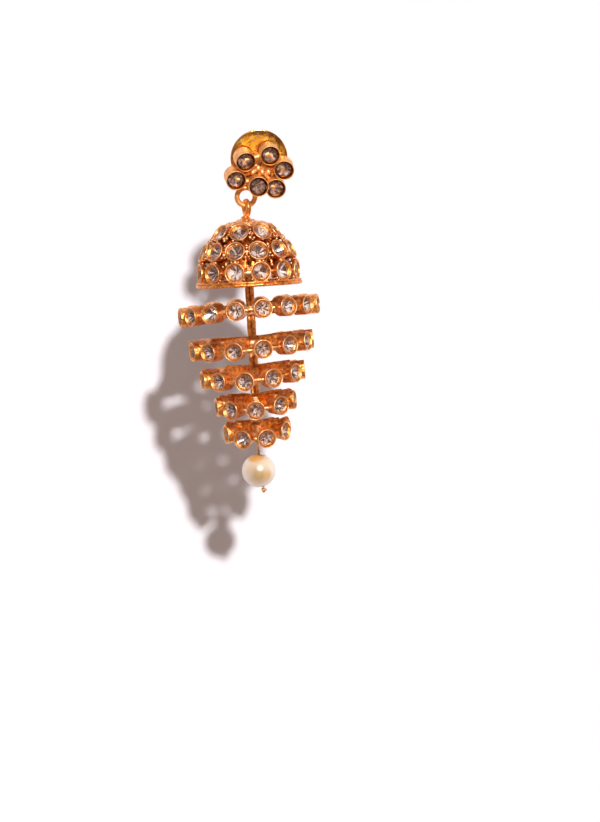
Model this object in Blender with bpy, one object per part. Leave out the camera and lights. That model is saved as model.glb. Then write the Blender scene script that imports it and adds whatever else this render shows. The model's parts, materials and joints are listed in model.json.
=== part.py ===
# A drop earring: a six-stone flower stud on a post with a clutch, a ring and
# bail below it, an openwork dome, five stone-set tier rings on a linked stem,
# and a pearl on a head pin. Metres, +Z up, the flower facing -Y. The origin is
# the root of the post, on the back of the flower, where the ear holds it.

import math

import bmesh
import bpy
from mathutils import Matrix, Vector

MM = 0.001

# Corners of a mesh closer than this are one corner
MERGE_DISTANCE = 0.0001 * MM

# Clearance between pieces that are assembled and not soldered
GAP = 0.3 * MM

# Round collets, the cups that hold the stones
COLLET_OUTER_RADIUS = 1.7 * MM
COLLET_SIDES = 8
FLAT_TO_CORNER = 1.03
SEAT_RADIUS = 1.3 * MM
SEAT_DEPTH = 0.9 * MM

# Flower stud: one row for each collet, seen from the front
PETAL_SIDES = 12
PETAL_DEPTH = 3.3 * MM
PETAL_SEAT_RADIUS = 1.45 * MM
PETAL_SEAT_DEPTH = 2.25 * MM
PETALS = [
    {"right": -2.72 * MM, "up": 2.26 * MM, "proud": 0.0, "down_turn": 8.0, "right_turn": 4.0},
    {"right": 1.63 * MM, "up": 3.20 * MM, "proud": 0.0, "down_turn": 4.0, "right_turn": 0.0},
    {"right": 3.99 * MM, "up": 0.44 * MM, "proud": 0.0, "down_turn": 6.0, "right_turn": -3.0},
    {"right": 2.43 * MM, "up": -2.80 * MM, "proud": 0.0, "down_turn": 4.0, "right_turn": 0.0},
    {"right": -0.72 * MM, "up": -2.06 * MM, "proud": 1.0 * MM, "down_turn": -3.0, "right_turn": 0.0},
    {"right": -4.55 * MM, "up": -0.97 * MM, "proud": 0.0, "down_turn": 8.0, "right_turn": 3.0},
]

# Brilliant stones of the flower
STONE_RADIUS = 1.2 * MM
STONE_TABLE_RADIUS = 0.7 * MM
STONE_TOP = -0.4 * MM
STONE_CROWN = 0.38 * MM
STONE_GIRDLE = 0.16 * MM
STONE_PAVILION = 1.0 * MM
STONE_SIDES = 8

# How the hanging flower stands: its face leans down and turns to the right
FLOWER_LEAN = math.radians(12.0)
FLOWER_TURN = math.radians(6.0)

# Wire hoop that ties the collets together at the back
HOOP_CENTRE = Vector((-0.45 * MM, 0.0, -2.8 * MM))
HOOP_RADIUS = 2.75 * MM
HOOP_WIRE_RADIUS = 0.38 * MM
HOOP_SIDES = 14

# Ear post on its solder pad
POST_RIGHT = 0.0
POST_UP = 2.15 * MM
POST_RADIUS = 0.4 * MM
POST_LENGTH = 11.0 * MM
POST_SIDES = 12
POST_PAD_RADIUS = 0.9 * MM
POST_PAD_FRONT = -2.75 * MM
POST_PAD_BACK = -3.55 * MM

# Clutch: a wide flat pad and a barrel with rolled ridges
PAD_RADIUS = 5.125 * MM
PAD_THICKNESS = 0.5 * MM
BARREL_RADIUS = 2.0 * MM
RIDGE_RADIUS = 2.25 * MM
BARREL_LENGTH = 4.3 * MM
RIDGE_COUNT = 2
RIDGE_WIDTH = 0.62 * MM
RIDGE_SPACING = 1.23 * MM
FIRST_RIDGE = 1.84 * MM
CLUTCH_SIDES = 28

# Ring below the flower, and the bail that hangs in it
RING_RADIUS = 1.61 * MM
RING_WIRE_RADIUS = 0.49 * MM
RING_SIDES = 18
RING_CENTRE = Vector((-2.70 * MM, -4.434 * MM, -2.7 * MM))
BAIL_WIRE_RADIUS = 0.5 * MM
BAIL_TOP = 1.28 * MM
BAIL_BOTTOM = -2.05 * MM
BAIL_HALF_WIDTH = 1.3 * MM
BAIL_TURN = math.radians(18.0)
BAIL_SIDES = 18

# The dome and all below it hang a little left of the bail's middle
DROP_ASIDE = -0.25 * MM

# Dome: heights are below the pivot, the point where the bail hangs
DOME_CENTRE = -11.8 * MM
DOME_RADIUS = 9.3 * MM
DOME_FACE_RADIUS = 9.1 * MM
DOME_COLLET_DEPTH = 1.6 * MM
DOME_COLLET_BACK_RADIUS = 1.5 * MM
CAP_EDGE = math.radians(28.2)
CAP_THICKNESS = 0.9 * MM
CAP_SIDES = 20
CAP_STEPS = 3
NECK_TOP = -1.8 * MM
NECK_TOP_RADIUS = 0.75 * MM
NECK_FOOT_RADIUS = 1.7 * MM
RIM_OUTER_RADIUS = 9.55 * MM
RIM_INNER_RADIUS = 8.6 * MM
RIM_TOP = -13.35 * MM
RIM_BOTTOM = -14.3 * MM
RIM_SIDES = 36
DOME_ROWS = [
    {"stones": 8, "from_top": 37.3, "first": -13.0},
    {"stones": 12, "from_top": 64.5, "first": 15.0},
    {"stones": 12, "from_top": 89.5, "first": 15.0},
]
ROW_WIRE_RADIUS = 0.3 * MM
ROW_WIRE_DEPTH = 1.2 * MM
RIB_RADIUS = 0.32 * MM
BRIDGE_FROM_TOP = 49.6
BRIDGE_WIRE_RADIUS = 0.62 * MM
BRIDGE_DEPTH = 0.8 * MM

# Eye under the cap, which carries the stem
EYE_RADIUS = 1.0 * MM
EYE_WIRE_RADIUS = 0.25 * MM
EYE_CENTRE = -4.05 * MM
EYE_SIDES = 12

# Tier rings, from the dome down
TIER_COLLET_DEPTH = 2.9 * MM
TIER_COLLET_BACK_RADIUS = 1.65 * MM
TIER_COLLET_CROWDING = 0.93
TIER_WIRE_RADIUS = 0.3 * MM
TIER_WIRE_DEPTH = 1.3 * MM
HUB_HOLE_RADIUS = 0.8 * MM
HUB_RADIUS = 1.35 * MM
HUB_HEIGHT = 1.0 * MM
HUB_SIDES = 12
SPOKE_HEIGHT = 1.1 * MM
SPOKE_THICKNESS = 0.5 * MM
SPOKE_BITE = 0.7 * MM
SPOKE_DIRECTIONS = (56.0, 124.0, -124.0, -56.0)

# Each hub sits at its height on the stem, and its ring of collets is hand bent:
# off the hub by aside and sag, with its left and right sides raised by saddle
TIERS = [
    {
        "stones": 16, "radius": 12.66 * MM, "first": 12.6, "dip": -0.3, "rise": 3.0,
        "height": -18.63 * MM, "aside": -0.3 * MM, "sag": 0.39 * MM, "saddle": -0.45 * MM,
    },
    {
        "stones": 13, "radius": 11.14 * MM, "first": 11.7, "dip": 0.7, "rise": 2.7,
        "height": -24.5 * MM, "aside": -0.23 * MM, "sag": -0.71 * MM, "saddle": 0.41 * MM,
    },
    {
        "stones": 11, "radius": 9.4 * MM, "first": -8.6, "dip": 0.8, "rise": 2.7,
        "height": -29.6 * MM, "aside": -0.26 * MM, "sag": -1.07 * MM, "saddle": 0.59 * MM,
    },
    {
        "stones": 9, "radius": 7.22 * MM, "first": -0.1, "dip": 3.5, "rise": 2.8,
        "height": -34.7 * MM, "aside": 0.0, "sag": -1.03 * MM, "saddle": 0.56 * MM,
    },
    {
        "stones": 8, "radius": 5.91 * MM, "first": 17.2, "dip": 6.9, "rise": 1.9,
        "height": -39.6 * MM, "aside": 0.0, "sag": -1.21 * MM, "saddle": 0.78 * MM,
    },
]

# Stem of flat lens-shaped links
STEM_THICKNESS = 0.5 * MM
STEM_NECK_HALF_WIDTH = 0.38 * MM
STEM_NECK_HALF_LENGTH = 0.85 * MM
STEM_LINK_HALF_WIDTH = 0.83 * MM
STEM_STRAND = 0.42 * MM
STEM_SLOT_MARGIN = 0.12
STEM_SLOT_TIP = 0.12 * MM
STEM_HIDDEN_NECK = -12.6 * MM
STEM_LINK_STEPS = 4
STEM_EYE_SIDES = 12
TOP_EYE = {"centre": EYE_CENTRE - EYE_RADIUS, "outer": 1.0 * MM, "hole": 0.65 * MM}
BOTTOM_EYE = {"centre": -41.45 * MM, "outer": 0.95 * MM, "hole": 0.55 * MM}

# Pearl on its head pin
PEARL_RADIUS = 3.0 * MM
PEARL_CENTRE = Vector((-0.1 * MM, 0.0, -47.4 * MM))
PEARL_HOLE_RADIUS = 0.45 * MM
PIN_RADIUS = 0.2 * MM
PIN_LOOP_RADIUS = 0.8 * MM
PIN_FOOT = Vector((0.62 * MM, 0.0, -50.85 * MM))
PIN_SIDES = 6
GRAIN_RADIUS = 0.3 * MM
GRAIN_SPREAD = 0.27 * MM
GRAIN_COUNT = 3
GRAIN_TURN = 0.3
GRAIN_SIDES = 8
GRAIN_LEVELS = 4
PEARL_SIDES = 20
PEARL_LEVELS = 12


def clear_scene():
    for thing in list(bpy.data.objects):
        bpy.data.objects.remove(thing, do_unlink=True)


def make_material(name, colour, roughness, metallic):
    material = bpy.data.materials.new(name)
    material.use_nodes = True
    shader = material.node_tree.nodes["Principled BSDF"]
    shader.inputs["Base Color"].default_value = (*colour, 1.0)
    shader.inputs["Roughness"].default_value = roughness
    shader.inputs["Metallic"].default_value = metallic
    return material


def make_empty(name, location, rotation=(0.0, 0.0, 0.0)):
    empty = bpy.data.objects.new(name, None)
    empty.location = location
    empty.rotation_euler = rotation
    bpy.context.scene.collection.objects.link(empty)
    return empty


def make_object(name, mesh, parent, material=None):
    thing = bpy.data.objects.new(name, mesh)
    thing.parent = parent
    bpy.context.scene.collection.objects.link(thing)
    if material is not None:
        mesh.materials.clear()
        mesh.materials.append(material)
    return thing


def make_guide(name, mesh, parent):
    guide = make_object(name, mesh, parent)
    guide.hide_render = True
    guide.display_type = "WIRE"
    return guide


def finish_mesh(bm, name):
    bmesh.ops.remove_doubles(bm, verts=bm.verts, dist=MERGE_DISTANCE)
    bmesh.ops.recalc_face_normals(bm, faces=bm.faces)
    mesh = bpy.data.meshes.new(name)
    bm.to_mesh(mesh)
    bm.free()
    return mesh


def smooth(mesh, angle=40.0):
    mesh.shade_smooth()
    mesh.set_sharp_from_angle(angle=math.radians(angle))


# A body turned about Z from (radius, height) points, its open ends closed flat
def turned_mesh(name, profile, sides, closed=False, first=0.0):
    bm = bmesh.new()
    start = Matrix.Rotation(first, 4, "Z")
    points = [bm.verts.new(start @ Vector((radius, 0.0, height))) for radius, height in profile]
    edges = [bm.edges.new(pair) for pair in zip(points, points[1:])]
    if closed:
        edges.append(bm.edges.new((points[-1], points[0])))
    bmesh.ops.spin(
        bm,
        geom=points + edges,
        cent=(0.0, 0.0, 0.0),
        axis=(0.0, 0.0, 1.0),
        angle=math.tau,
        steps=sides,
    )
    bmesh.ops.remove_doubles(bm, verts=bm.verts, dist=MERGE_DISTANCE)
    open_ends = [edge for edge in bm.edges if edge.is_boundary]
    bmesh.ops.holes_fill(bm, edges=open_ends, sides=0)
    return finish_mesh(bm, name)


# A wire hoop about Z with its corners at the given first angle
def hoop_mesh(name, radius, wire_radius, sides, wire_sides=6, first=0.0):
    profile = []
    for step in range(wire_sides):
        angle = math.tau * (step + 0.5) / wire_sides
        profile.append((radius + wire_radius * math.cos(angle), wire_radius * math.sin(angle)))
    return turned_mesh(name, profile, sides, closed=True, first=first)


# A square bar along a few points in one upright plane
def path_mesh(name, stops, radius, outward):
    bm = bmesh.new()
    side = Vector((0.0, 0.0, 1.0)).cross(outward).normalized() * radius
    loops = []
    for stop in stops:
        corners = [stop + side + outward * radius, stop + side - outward * radius]
        corners += [stop - side - outward * radius, stop - side + outward * radius]
        loops.append([bm.verts.new(corner) for corner in corners])
    for above, below in zip(loops, loops[1:]):
        for n in range(4):
            bm.faces.new((above[n - 1], above[n], below[n], below[n - 1]))
    bm.faces.new(loops[0])
    bm.faces.new(loops[-1])
    return finish_mesh(bm, name)


# One mesh from placed copies of others, which must not overlap each other
def joined_mesh(name, placed):
    bm = bmesh.new()
    for mesh, place in placed:
        copy = mesh.copy()
        copy.transform(place)
        bm.from_mesh(copy)
        bpy.data.meshes.remove(copy)
    bmesh.ops.recalc_face_normals(bm, faces=bm.faces)
    joined = bpy.data.meshes.new(name)
    bm.to_mesh(joined)
    bm.free()
    return joined


def box_mesh(name, size):
    bm = bmesh.new()
    bmesh.ops.create_cube(bm, size=1.0)
    bmesh.ops.scale(bm, vec=size, verts=bm.verts)
    return finish_mesh(bm, name)


def add_boolean(thing, other, operation):
    cut = thing.modifiers.new(other.name, "BOOLEAN")
    cut.operation = operation
    cut.solver = "EXACT"
    cut.object = other


# Soldered parts become one solid
def solder(thing, parts):
    for part_name, mesh in parts.items():
        guide = make_guide(f"{thing.name}_{part_name}", mesh, thing.parent)
        add_boolean(thing, guide, "UNION")


def heading(degrees):
    angle = math.radians(degrees)
    return Vector((math.sin(angle), -math.cos(angle), 0.0))


# Places a collet so that its face looks along outward and its up side stays up
def face_out(outward, distance, centre=Vector((0.0, 0.0, 0.0))):
    side = Vector((0.0, 0.0, 1.0)).cross(outward).normalized()
    up = outward.cross(side)
    place = Matrix((side, up, outward)).transposed().to_4x4()
    place.translation = centre + outward * distance
    return place


# A small collet, countersunk for its stone
def collet_mesh(name, depth, back_radius):
    corner = COLLET_OUTER_RADIUS * FLAT_TO_CORNER
    profile = [
        (0.0, -SEAT_DEPTH),
        (SEAT_RADIUS, 0.0),
        (corner, 0.0),
        (back_radius, -depth),
    ]
    half_side = math.pi / COLLET_SIDES
    return turned_mesh(name, profile, COLLET_SIDES, first=half_side)


def petal_place(petal):
    place = Matrix.Translation((petal["right"], petal["up"], petal["proud"]))
    place @= Matrix.Rotation(math.radians(petal["right_turn"]), 4, "Y")
    place @= Matrix.Rotation(math.radians(petal["down_turn"]), 4, "X")
    return place


def petal_mesh(name, proud):
    back = -PETAL_DEPTH - proud
    profile = [
        (PETAL_SEAT_RADIUS, -PETAL_SEAT_DEPTH),
        (PETAL_SEAT_RADIUS, 0.0),
        (COLLET_OUTER_RADIUS, 0.0),
        (COLLET_OUTER_RADIUS, back),
    ]
    return turned_mesh(name, profile, PETAL_SIDES, first=math.pi / PETAL_SIDES)


def make_stud(flower, gold):
    even = [(petal_mesh("petal", petal["proud"]), petal_place(petal)) for petal in PETALS[0::2]]
    odd = [(petal_mesh("petal", petal["proud"]), petal_place(petal)) for petal in PETALS[1::2]]
    stud = make_object("stud_setting", joined_mesh("stud_setting", even), flower, gold)

    hoop = hoop_mesh("hoop", HOOP_RADIUS, HOOP_WIRE_RADIUS, HOOP_SIDES, wire_sides=4)
    hoop.transform(Matrix.Translation(HOOP_CENTRE))

    ring = hoop_mesh("ring", RING_RADIUS, RING_WIRE_RADIUS, RING_SIDES)
    ring.transform(Matrix.Translation(RING_CENTRE))

    post_profile = [
        (POST_PAD_RADIUS, POST_PAD_FRONT),
        (POST_PAD_RADIUS, POST_PAD_BACK),
        (POST_RADIUS, POST_PAD_BACK),
        (POST_RADIUS, POST_PAD_BACK - POST_LENGTH),
    ]
    post = turned_mesh("post", post_profile, POST_SIDES)
    post.transform(Matrix.Translation((POST_RIGHT, POST_UP, 0.0)))

    solder(stud, {
        "petals": joined_mesh("petals", odd),
        "hoop": hoop,
        "ring": ring,
        "post": post,
    })
    smooth(stud.data)
    return stud


def make_petal_stones(flower, glass):
    girdle_top = STONE_TOP - STONE_CROWN
    girdle_bottom = girdle_top - STONE_GIRDLE
    profile = [
        (STONE_TABLE_RADIUS, STONE_TOP),
        (STONE_RADIUS, girdle_top),
        (STONE_RADIUS, girdle_bottom),
        (0.0, girdle_bottom - STONE_PAVILION),
    ]
    for number, petal in enumerate(PETALS, start=1):
        mesh = turned_mesh("petal_stone", profile, STONE_SIDES)
        mesh.transform(petal_place(petal))
        make_object(f"petal_stone_{number}", mesh, flower, glass)


def make_clutch(post_line, pale_gold):
    bore = POST_RADIUS + GAP
    pad_front = GAP
    barrel_front = pad_front + PAD_THICKNESS
    back = barrel_front + BARREL_LENGTH
    profile = [
        (bore, pad_front),
        (PAD_RADIUS, pad_front),
        (PAD_RADIUS, barrel_front),
        (BARREL_RADIUS, barrel_front),
    ]
    for ridge in range(RIDGE_COUNT):
        start = barrel_front + FIRST_RIDGE + RIDGE_SPACING * ridge
        profile.append((BARREL_RADIUS, start))
        profile.append((RIDGE_RADIUS, start + RIDGE_WIDTH / 2))
        profile.append((BARREL_RADIUS, start + RIDGE_WIDTH))
    profile.append((BARREL_RADIUS, back))
    profile.append((bore, back))
    mesh = turned_mesh("clutch", profile, CLUTCH_SIDES, closed=True)
    clutch = make_object("clutch", mesh, post_line, pale_gold)
    smooth(clutch.data)
    return clutch


def row_places(row):
    polar = math.radians(row["from_top"])
    places = []
    for number in range(row["stones"]):
        around = heading(row["first"] + 360.0 * number / row["stones"])
        outward = around * math.sin(polar) + Vector((0.0, 0.0, math.cos(polar)))
        places.append(face_out(outward, DOME_FACE_RADIUS, Vector((0.0, 0.0, DOME_CENTRE))))
    return places


# Wire that passes through the solid backs of one row of collets
def row_wire(row):
    polar = math.radians(row["from_top"])
    reach = DOME_FACE_RADIUS - ROW_WIRE_DEPTH
    first = math.radians(row["first"] - 90.0)
    wire = hoop_mesh("row_wire", reach * math.sin(polar), ROW_WIRE_RADIUS, row["stones"], 4, first)
    wire.transform(Matrix.Translation((0.0, 0.0, DOME_CENTRE + reach * math.cos(polar))))
    return wire


# Upright ribs from the bridge wire down to the rim, through two rows of collets
def rib_mesh():
    upper, lower = DOME_ROWS[1:]
    reach = DOME_FACE_RADIUS - ROW_WIRE_DEPTH
    rim_middle = Vector((0.0, 0.0, (RIM_TOP + RIM_BOTTOM) / 2))
    ribs = []
    for number in range(upper["stones"]):
        around = heading(upper["first"] + 360.0 * number / upper["stones"])
        stops = []
        for from_top in (BRIDGE_FROM_TOP, upper["from_top"], lower["from_top"]):
            polar = math.radians(from_top)
            height = Vector((0.0, 0.0, DOME_CENTRE + reach * math.cos(polar)))
            stops.append(around * reach * math.sin(polar) + height)
        stops.append(around * (RIM_INNER_RADIUS + RIM_OUTER_RADIUS) / 2 + rim_middle)
        ribs.append((path_mesh("rib", stops, RIB_RADIUS, around), Matrix()))
    return joined_mesh("ribs", ribs)


# Wire between the first two rows, with a corner at each collet of the second
def bridge_mesh():
    reach = DOME_FACE_RADIUS - BRIDGE_DEPTH
    polar = math.radians(BRIDGE_FROM_TOP)
    first = math.radians(DOME_ROWS[1]["first"] - 90.0)
    radius = reach * math.sin(polar)
    bridge = hoop_mesh("bridge", radius, BRIDGE_WIRE_RADIUS, DOME_ROWS[1]["stones"], first=first)
    bridge.transform(Matrix.Translation((0.0, 0.0, DOME_CENTRE + reach * math.cos(polar))))
    return bridge


def cap_mesh():
    inner = DOME_RADIUS - CAP_THICKNESS
    profile = [(NECK_TOP_RADIUS, NECK_TOP)]
    neck_foot = math.asin(NECK_FOOT_RADIUS / DOME_RADIUS)
    for step in range(CAP_STEPS + 1):
        polar = neck_foot + (CAP_EDGE - neck_foot) * step / CAP_STEPS
        profile.append((DOME_RADIUS * math.sin(polar), DOME_CENTRE + DOME_RADIUS * math.cos(polar)))
    for step in range(CAP_STEPS + 1):
        polar = CAP_EDGE * (1.0 - step / CAP_STEPS)
        profile.append((inner * math.sin(polar), DOME_CENTRE + inner * math.cos(polar)))
    return turned_mesh("cap", profile, CAP_SIDES)


def bail_mesh():
    middle = (BAIL_TOP + BAIL_BOTTOM) / 2
    stretch = (BAIL_TOP - BAIL_BOTTOM) / 2 / BAIL_HALF_WIDTH
    bail = hoop_mesh("bail", BAIL_HALF_WIDTH, BAIL_WIRE_RADIUS, BAIL_SIDES)
    # The wire keeps its thickness while the hoop is drawn out to an oval
    for vertex in bail.vertices:
        flat = Vector((vertex.co.x, vertex.co.y, 0.0))
        spine = flat.normalized() * BAIL_HALF_WIDTH
        vertex.co.y += spine.y * (stretch - 1.0)
    upright = Matrix.Rotation(BAIL_TURN, 4, "Z") @ Matrix.Rotation(math.pi / 2, 4, "Y")
    upright @= Matrix.Rotation(math.pi / 2, 4, "Z")
    bail.transform(Matrix.Translation((-DROP_ASIDE, 0.0, middle)) @ upright)
    return bail


def make_dome(hinge, gold):
    collet = collet_mesh("dome_collet", DOME_COLLET_DEPTH, DOME_COLLET_BACK_RADIUS)
    dome = make_object("dome", cap_mesh(), hinge, gold)
    rim = turned_mesh(
        "rim",
        [
            (RIM_INNER_RADIUS, RIM_TOP),
            (RIM_OUTER_RADIUS, RIM_TOP),
            (RIM_OUTER_RADIUS, RIM_BOTTOM),
            (RIM_INNER_RADIUS, RIM_BOTTOM),
        ],
        RIM_SIDES,
        closed=True,
    )
    parts = {"bail": bail_mesh()}
    for number, row in enumerate(DOME_ROWS, start=1):
        parts[f"row_{number}"] = joined_mesh("row", [(collet, place) for place in row_places(row)])
        parts[f"wire_{number}"] = row_wire(row)
    parts["bridge"] = bridge_mesh()
    parts["ribs"] = rib_mesh()
    parts["rim"] = rim
    eye = hoop_mesh("eye", EYE_RADIUS, EYE_WIRE_RADIUS, EYE_SIDES)
    eye.transform(Matrix.Translation((0.0, 0.0, EYE_CENTRE)) @ Matrix.Rotation(math.pi / 2, 4, "Y"))
    parts["eye"] = eye
    solder(dome, parts)
    smooth(dome.data)
    return dome


def nearest_stone(tier, wanted):
    pitch = 360.0 / tier["stones"]
    steps = round((wanted - tier["first"]) / pitch)
    return tier["first"] + pitch * steps


def tier_place(tier):
    place = Matrix.Translation((0.0, 0.0, tier["height"]))
    place @= Matrix.Rotation(math.radians(-tier["rise"]), 4, "Y")
    place @= Matrix.Rotation(math.radians(tier["dip"]), 4, "X")
    return place


# How far the bent ring is off its hub, on the side that outward points to
def ring_offset(tier, outward):
    return Vector((tier["aside"], 0.0, tier["sag"] + tier["saddle"] * outward.x ** 2))


def make_tier(number, tier, hinge, gold):
    # Collets narrow at the back only where a small ring crowds them
    room = (tier["radius"] - TIER_COLLET_DEPTH) * math.tan(math.pi / tier["stones"])
    back_radius = min(TIER_COLLET_BACK_RADIUS, TIER_COLLET_CROWDING * room)
    collet = collet_mesh("tier_collet", TIER_COLLET_DEPTH, back_radius)
    collets = []
    for stone in range(tier["stones"]):
        outward = heading(tier["first"] + 360.0 * stone / tier["stones"])
        collets.append((collet, face_out(outward, tier["radius"], ring_offset(tier, outward))))
    ring = make_object(f"tier_ring_{number}", joined_mesh("collets", collets), hinge, gold)

    first = math.radians(tier["first"] - 90.0)
    wire_radius = tier["radius"] - TIER_WIRE_DEPTH
    wire = hoop_mesh("wire", wire_radius, TIER_WIRE_RADIUS, tier["stones"], 4, first)
    for corner in wire.vertices:
        outward = Vector((corner.co.x, corner.co.y, 0.0)).normalized()
        corner.co += ring_offset(tier, outward)

    half = HUB_HEIGHT / 2
    hub = turned_mesh(
        "hub",
        [(HUB_HOLE_RADIUS, half), (HUB_RADIUS, half), (HUB_RADIUS, -half), (HUB_HOLE_RADIUS, -half)],
        HUB_SIDES,
        closed=True,
    )

    inner = (HUB_HOLE_RADIUS + HUB_RADIUS) / 2
    outer = tier["radius"] - TIER_COLLET_DEPTH + SPOKE_BITE
    strip = box_mesh("strip", (SPOKE_THICKNESS, SPOKE_HEIGHT, outer - inner))
    spokes = [
        (strip, face_out(heading(nearest_stone(tier, wanted)), (outer + inner) / 2))
        for wanted in SPOKE_DIRECTIONS
    ]
    parts = {"wire": wire, "spokes": joined_mesh("spokes", spokes), "hub": hub}
    for mesh in (ring.data, *parts.values()):
        mesh.transform(tier_place(tier))
    solder(ring, parts)
    smooth(ring.data)
    return ring


# Half width of a lens-shaped link, from 0 at its top to 1 at its foot
def link_half_width(along):
    swell = STEM_LINK_HALF_WIDTH - STEM_NECK_HALF_WIDTH
    return STEM_NECK_HALF_WIDTH + swell * math.sin(math.pi * along)


def stem_links():
    necks = [STEM_HIDDEN_NECK] + [tier["height"] for tier in TIERS]
    tops = [TOP_EYE["centre"] - TOP_EYE["outer"]] + [neck - STEM_NECK_HALF_LENGTH for neck in necks]
    feet = [neck + STEM_NECK_HALF_LENGTH for neck in necks]
    return list(zip(tops, feet))


def eye_points(eye, radius, start, end, steps):
    points = []
    for step in range(steps + 1):
        angle = math.radians(start + (end - start) * step / steps)
        points.append((radius * math.sin(angle), eye["centre"] + radius * math.cos(angle)))
    return points


def stem_right_side():
    turn = math.degrees(math.asin(STEM_NECK_HALF_WIDTH / TOP_EYE["outer"]))
    side = eye_points(TOP_EYE, TOP_EYE["outer"], 0.0, 180.0 - turn, STEM_EYE_SIDES // 2)
    for top, foot in stem_links():
        for step in range(STEM_LINK_STEPS + 1):
            along = step / STEM_LINK_STEPS
            side.append((link_half_width(along), top + (foot - top) * along))
    turn = math.degrees(math.asin(STEM_NECK_HALF_WIDTH / BOTTOM_EYE["outer"]))
    side += eye_points(BOTTOM_EYE, BOTTOM_EYE["outer"], turn, 180.0, STEM_EYE_SIDES // 2)
    return side


def link_slot(top, foot):
    right = []
    for step in range(STEM_LINK_STEPS - 1):
        along = STEM_SLOT_MARGIN + (1.0 - 2.0 * STEM_SLOT_MARGIN) * step / (STEM_LINK_STEPS - 2)
        half = max(link_half_width(along) - STEM_STRAND, STEM_SLOT_TIP)
        right.append((half, top + (foot - top) * along))
    left = [(-half, height) for half, height in reversed(right)]
    return right + left


# The stem is a flat outline with a slot in each link, filled and given its thickness
def stem_mesh():
    right = stem_right_side()
    left = [(-across, height) for across, height in reversed(right[1:-1])]
    outlines = [right + left]
    outlines += [link_slot(top, foot) for top, foot in stem_links()]
    for eye in (TOP_EYE, BOTTOM_EYE):
        hole = eye_points(eye, eye["hole"], 0.0, 360.0, STEM_EYE_SIDES)
        outlines.append(hole[:-1])
    bm = bmesh.new()
    edges = []
    for outline in outlines:
        corners = [bm.verts.new((across / MM, 0.0, height / MM)) for across, height in outline]
        edges += [bm.edges.new((corners[n - 1], corners[n])) for n in range(len(corners))]
    bmesh.ops.triangle_fill(bm, edges=edges, use_beauty=True, normal=(0.0, 1.0, 0.0))
    back = bmesh.ops.extrude_face_region(bm, geom=bm.faces[:])
    moved = [item for item in back["geom"] if isinstance(item, bmesh.types.BMVert)]
    bmesh.ops.translate(bm, vec=(0.0, STEM_THICKNESS / MM, 0.0), verts=moved)
    bmesh.ops.translate(bm, vec=(0.0, -STEM_THICKNESS / MM / 2, 0.0), verts=bm.verts)
    bmesh.ops.scale(bm, vec=(MM, MM, MM), verts=bm.verts)
    return finish_mesh(bm, "centre_stem")


# Where the pin starts, at the foot of its loop, and where it ends below the pearl
def pin_line():
    top = Vector((0.0, 0.0, BOTTOM_EYE["centre"] - 2.0 * PIN_LOOP_RADIUS))
    return top, PIN_FOOT


# A straight bar between two points
def bar_mesh(name, start, end, radius, sides):
    length = (end - start).length
    mesh = turned_mesh(name, [(radius, 0.0), (radius, -length)], sides)
    turn = Vector((0.0, 0.0, -1.0)).rotation_difference(end - start).to_matrix().to_4x4()
    mesh.transform(Matrix.Translation(start) @ turn)
    return mesh


def ball_mesh(name, radius, sides, levels):
    bm = bmesh.new()
    bmesh.ops.create_uvsphere(bm, u_segments=sides, v_segments=levels, radius=radius)
    return finish_mesh(bm, name)


def make_pin(hinge, gold):
    top, foot = pin_line()
    pin = make_object("pearl_pin", bar_mesh("pearl_pin", top, foot, PIN_RADIUS, PIN_SIDES), hinge, gold)
    loop = hoop_mesh("loop", PIN_LOOP_RADIUS, PIN_RADIUS, EYE_SIDES)
    centre = Vector((0.0, 0.0, BOTTOM_EYE["centre"] - PIN_LOOP_RADIUS))
    loop.transform(Matrix.Translation(centre) @ Matrix.Rotation(math.pi / 2, 4, "Y"))
    parts = {"loop": loop}
    grain = ball_mesh("grain", GRAIN_RADIUS, GRAIN_SIDES, GRAIN_LEVELS)
    for number in range(GRAIN_COUNT):
        angle = math.tau * number / GRAIN_COUNT + GRAIN_TURN
        aside = Vector((math.cos(angle), math.sin(angle), 0.0)) * GRAIN_SPREAD
        ball = grain.copy()
        ball.transform(Matrix.Translation(foot + aside))
        parts[f"grain_{number + 1}"] = ball
    tip = grain.copy()
    tip.transform(Matrix.Translation(foot + Vector((0.0, 0.0, -GRAIN_RADIUS))))
    parts["grain_tip"] = tip
    solder(pin, parts)
    smooth(pin.data)
    return pin


def make_pearl(hinge, nacre):
    mesh = ball_mesh("pearl", PEARL_RADIUS, PEARL_SIDES, PEARL_LEVELS)
    mesh.transform(Matrix.Translation(PEARL_CENTRE))
    pearl = make_object("pearl", mesh, hinge, nacre)
    top, foot = pin_line()
    beyond = (foot - top).normalized() * PEARL_RADIUS
    drill = bar_mesh("pearl_drill", top - beyond, foot + beyond, PEARL_HOLE_RADIUS, PIN_SIDES)
    add_boolean(pearl, make_guide("pearl_drill", drill, hinge), "DIFFERENCE")
    smooth(pearl.data)
    return pearl


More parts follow.
